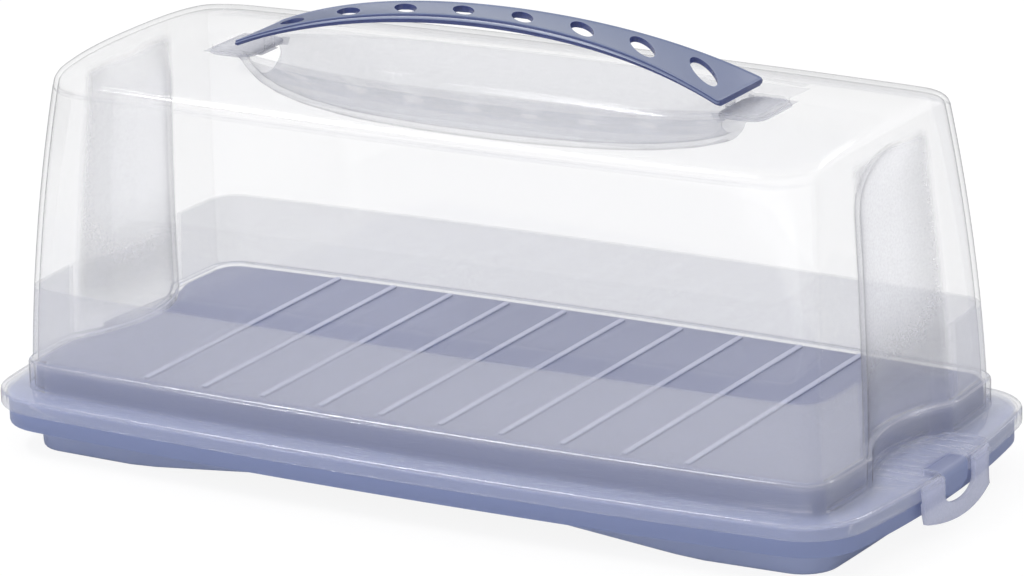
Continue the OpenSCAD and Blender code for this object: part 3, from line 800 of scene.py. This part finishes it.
def strapHandle():
    near = [(-strap["halfMid"] + 1.7, -strap["skin"] - strap["web"])]
    near += [(-strap["halfMid"] + d, z) for d, z in strap["section"]]
    section = near + [(-y, z) for y, z in reversed(near)]
    deselectAll()
    bpy.ops.mesh.primitive_circle_add(vertices=len(section), radius=1, fill_type="NGON")
    o = bpy.context.object
    for v, (y, z) in zip(o.data.vertices, section):
        v.co = Vector((-strap["half"], y, strap["crest"] + z)) * mm
    editMode(o)
    bpy.ops.mesh.select_all(action="SELECT")
    ends = [strap["half"] - d for d in (*strap["ends"], strap["corner"])]
    half = strap["columns"] / 2
    columns = [-x for x in ends] + [ends[-1] * (i / half - 1) for i in range(1, strap["columns"])] + ends[::-1]
    for x0, x1 in zip(columns, columns[1:]):
        bpy.ops.mesh.extrude_region_move(TRANSFORM_OT_translate={"value": ((x1 - x0) * mm, 0, 0)})
    bpy.ops.object.mode_set(mode="OBJECT")

    def arched(x, y, z):
        t = (x / strap["half"]) ** 2
        grow = (strap["halfEnd"] - strap["halfMid"]) * t
        # the corners and the rim of each end are rounded
        c = max(abs(x) - strap["half"] + strap["corner"], 0)
        grow -= strap["corner"] - math.sqrt(max(strap["corner"] ** 2 - c * c, 0))
        low = (strap["edge"] - (strap["edge"] - strap["edgeEnd"]) * t) / strap["edge"]
        depth = (z - strap["crest"]) * (low if z - strap["crest"] < -0.4 else 1)
        # the web under the flat top, and a small lip on the top at its ends
        if abs(y) < strap["halfMid"] - 1.65 and depth < -0.4:
            depth = -strap["skin"] - strap["web"] * (1 - strap["webThinner"] * t)
        lip = 0
        if abs(y) < strap["halfMid"] - 1.4 and depth > -0.4:
            lip = strap["endLip"] * max(1 - (strap["half"] - abs(x)) / strap["lipLong"], 0)
        edge = math.copysign(min(abs(y) / (strap["halfMid"] - 2.2), 1), y)
        return x, y + edge * grow, strapTop(x) + depth + lip
    shapeVertices(o, arched)
    cleanShell(o)
    return o


def holeCutter(k):
    deselectAll()
    bpy.ops.mesh.primitive_cylinder_add(vertices=56, radius=1, depth=holes["cutTall"] * mm)
    o = bpy.context.object
    o.scale.x = (holes["halfLong"] + abs(k) * holes["longer"]) * mm
    o.scale.y = (holes["halfWide"] + abs(k) * holes["wider"]) * mm
    o.rotation_euler.z = math.radians(holes["slant"])
    o.location = (k * holes["pitch"] * mm, 0, holes["cutMiddle"] * mm)
    settle(o)
    return o


strapPiece = strapHandle()
for i in range(holes["count"]):
    hole = holeCutter(i - (holes["count"] - 1) / 2)
    applyModifier(strapPiece, "BOOLEAN", operation="DIFFERENCE", solver="EXACT", object=hole)
    bpy.data.objects.remove(hole)
smooth(strapPiece)
# the strap rides with the hood, on a mesh of its own; pressed, the real arch flattens between its ends, which
# stay in the hood
finishPiece(strapPiece, "strapHandle", blueStrap, "hood", "blue_strap", "carry_handle")
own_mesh(strapPiece)

# shallow satin floor under each slot, seen as a pale grey tab past the strap's end; its grey is painted shade
# of the pocket
pocket = {"top": 141.5, "deep": 0.9, "past": 0.9, "edgeRadius": 0.2}
(slotX, slotY, _), (slotLong, slotWide, _), slotCorner = openings["slot"]
floorRight = roundedCutter("slotFloorRight", (slotX, slotY, pocket["top"] - pocket["deep"] / 2),
                           (slotLong + 2 * pocket["past"], slotWide + 2 * pocket["past"], pocket["deep"]),
                           slotCorner + pocket["past"])
roundEdges(floorRight, pocket["edgeRadius"], 40)
smooth(floorRight)
floorLeft = mirroredCopy(floorRight, "slotFloorLeft")
finishPiece(floorRight, "slotFloorRight", clearHood, "hood", "clear_hood")
finishPiece(floorLeft, "slotFloorLeft", clearHood, "hood", "clear_hood")

# clear neck under each strap end, turned out to a foot that hooks into the slot
neck = {"place": (94.2, 0, 144.3), "size": (1.3, 6, 6.6), "turn": (1.2, 0, -1), "spread": (2.4, 2, 1),
        "edgeRadius": 0.4}


def strapFoot():
    deselectAll()
    bpy.ops.mesh.primitive_cube_add(size=1, location=Vector(neck["place"]) * mm)
    o = bpy.context.object
    o.scale = Vector(neck["size"]) * mm
    settle(o)
    editMode(o)
    selectWhere(o, lambda c, n: n.z < -0.9)
    bpy.ops.mesh.extrude_region_move(TRANSFORM_OT_translate={"value": Vector(neck["turn"]) * mm})
    sole = Vector(neck["place"]) - Vector((0, 0, neck["size"][2] / 2)) + Vector(neck["turn"])
    bpy.ops.transform.resize(value=neck["spread"], center_override=sole * mm)
    bpy.ops.object.mode_set(mode="OBJECT")
    cleanShell(o)
    roundEdges(o, neck["edgeRadius"], 40)
    return o


footRight = strapFoot()
footLeft = mirroredCopy(footRight, "strapFootLeft")
finishPiece(footRight, "strapFootRight", clearHood, "hood", "clear_hood")
finishPiece(footLeft, "strapFootLeft", clearHood, "hood", "clear_hood")

# stage: a pale board under a white surround, with darker studio low in front for the gloss

studio = {"front": -0.9, "rear": 1.6, "left": -1.1, "right": 1.1, "under": -0.0003,
          "board": ("#EAEAEB", "#F2F2F3"), "boardInGloss": "#B4B5B9", "whiteShare": 0.86, "white": 1.04,
          "low": "#5E6068", "roof": "#FFFFFF", "light": 0.8}


def boardMaterial():
    # matt painted board: white to the eye with a faint shadow, pale grey in the gloss of the hood
    material, tree = newMaterial("paintedBoard")
    path = addNode(tree, "ShaderNodeLightPath")
    eye = addNode(tree, "ShaderNodeMath", [(0, path, "Is Camera Ray"), (1, path, "Is Transmission Ray")],
                  operation="MAXIMUM")
    share = addNode(tree, "ShaderNodeMath", [(0, eye, 0), (1, studio["whiteShare"])], operation="MULTIPLY")
    place = addNode(tree, "ShaderNodeTexCoord")
    speck = addNode(tree, "ShaderNodeTexNoise", [("Vector", place, "Object")], Scale=1 / (1.5 * mm), Detail=2.0)
    dim, pale = (toLinear(colour) for colour in studio["board"])
    paint = addNode(tree, "ShaderNodeMix", [(0, speck, 0), (6, dim), (7, pale)], data_type="RGBA")
    mirrored = addNode(tree, "ShaderNodeMix", [(0, path, "Is Glossy Ray"), (6, paint, 2),
                                               (7, toLinear(studio["boardInGloss"]))], data_type="RGBA")
    board = addNode(tree, "ShaderNodeBsdfDiffuse", [("Color", mirrored, 2)])
    glow = addNode(tree, "ShaderNodeEmission", Color=(1, 1, 1, 1), Strength=studio["white"])
    mix = addNode(tree, "ShaderNodeMixShader", [(0, share, 0), (1, board, 0), (2, glow, 0)])
    addNode(tree, "ShaderNodeOutputMaterial", [("Surface", mix, 0)])
    return material


deselectAll()
bpy.ops.mesh.primitive_plane_add(size=1)
table = bpy.context.object
table.name = "table"
for v in table.data.vertices:
    v.co = (studio["right" if v.co.x > 0 else "left"], studio["rear" if v.co.y > 0 else "front"],
            studio["under"])
table.data.materials.append(boardMaterial())


def studioWorld():
    # white to the eye; in gloss dark low in front, white above and behind
    world = bpy.data.worlds.new("studio")
    world.use_nodes = True
    tree = world.node_tree
    tree.nodes.clear()
    path = addNode(tree, "ShaderNodeLightPath")
    place = addNode(tree, "ShaderNodeTexCoord")
    split = addNode(tree, "ShaderNodeSeparateXYZ", [(0, place, "Generated")])
    height = addNode(tree, "ShaderNodeMapRange", [("Value", split, 2)], From_Min=-0.1, From_Max=0.55)
    back = addNode(tree, "ShaderNodeMapRange", [("Value", split, 1)], From_Min=-0.05, From_Max=0.4)
    aloft = addNode(tree, "ShaderNodeMapRange", [("Value", split, 2)], From_Min=-0.02, From_Max=0.12)
    behind = overlap(tree, back, aloft)
    bright = addNode(tree, "ShaderNodeMath", [(0, height, 0), (1, behind, 0)], operation="MAXIMUM")
    surround = addNode(tree, "ShaderNodeMix", [(0, bright, 0), (6, toLinear(studio["low"])),
                                               (7, toLinear(studio["roof"]))], data_type="RGBA")
    even = addNode(tree, "ShaderNodeMapRange", [("Value", split, 2)], From_Min=-0.4, From_Max=0.4, To_Min=0.7,
                   To_Max=1.0)
    lit = addNode(tree, "ShaderNodeMix", [(0, path, "Is Glossy Ray"), (6, even, 0), (7, surround, 2)],
                  data_type="RGBA")
    soft = addNode(tree, "ShaderNodeBackground", [("Color", lit, 2)], Strength=studio["light"])
    white = addNode(tree, "ShaderNodeBackground", Color=(1, 1, 1, 1), Strength=1.0)
    seen = addNode(tree, "ShaderNodeMath", [(0, path, "Is Camera Ray"), (1, path, "Is Transmission Ray")],
                   operation="MAXIMUM")
    mix = addNode(tree, "ShaderNodeMixShader", [(0, seen, 0), (1, soft, 0), (2, white, 0)])
    addNode(tree, "ShaderNodeOutputWorld", [("Surface", mix, 0)])
    return world


scene.world = studioWorld()

# lamps: place, size and power; all look at a point low in the hood
lamps = {"keyLight": ((-0.67, -0.43, 1.31), (1.0, 0.2), 8), "backLight": ((0.4, 1.1, 1.2), (1.0, 0.3), 3.2),
         "lowFill": ((0.35, -1.3, 0.1), (1.6, 0.25), 2.6)}
aim = Vector((0, 0, 0.06))


def softLight(name, place, size, power):
    deselectAll()
    bpy.ops.object.light_add(type="AREA", location=place)
    lamp = bpy.context.object
    lamp.name = name
    lamp.data.shape = "RECTANGLE"
    lamp.data.size, lamp.data.size_y = size
    lamp.data.energy = power
    lamp.rotation_euler = (aim - Vector(place)).to_track_quat("-Z", "Y").to_euler()


for name, settings in lamps.items():
    softLight(name, *settings)

# camera, matched to the photograph: far away, long lens, slightly rolled and shifted

view = {"azimuth": 30.281, "elevation": 18.026, "roll": -1.674, "distance": 2.07176, "focalPixels": 5795.0,
        "target": (0.016294, 0, 0.041099), "centre": (542.74, 351.61), "picture": (1024, 576), "sensor": 36}


def photoCamera():
    az, el, roll = (math.radians(view[k]) for k in ("azimuth", "elevation", "roll"))
    back = Vector((math.sin(az) * math.cos(el), -math.cos(az) * math.cos(el), math.sin(el)))
    right = Vector((math.cos(az), math.sin(az), 0))
    up = back.cross(right)
    rolledRight = right * math.cos(roll) + up * math.sin(roll)
    rolledUp = up * math.cos(roll) - right * math.sin(roll)
    data = bpy.data.cameras.new("camera")
    wide, tall = view["picture"]
    data.sensor_width = view["sensor"]
    data.lens = view["focalPixels"] / wide * view["sensor"]
    data.shift_x = (wide / 2 - view["centre"][0]) / wide
    data.shift_y = (view["centre"][1] - tall / 2) / wide
    data.clip_end = 20
    camera = bpy.data.objects.new("camera", data)
    scene.collection.objects.link(camera)
    turn = Matrix((rolledRight, rolledUp, back)).transposed().to_4x4()
    camera.matrix_world = Matrix.Translation(Vector(view["target"]) + back * view["distance"]) @ turn
    return camera


scene.camera = photoCamera()
scene.view_settings.view_transform = "Standard"
scene.cycles.transparent_max_bounces = 24
print("camera and lights set")
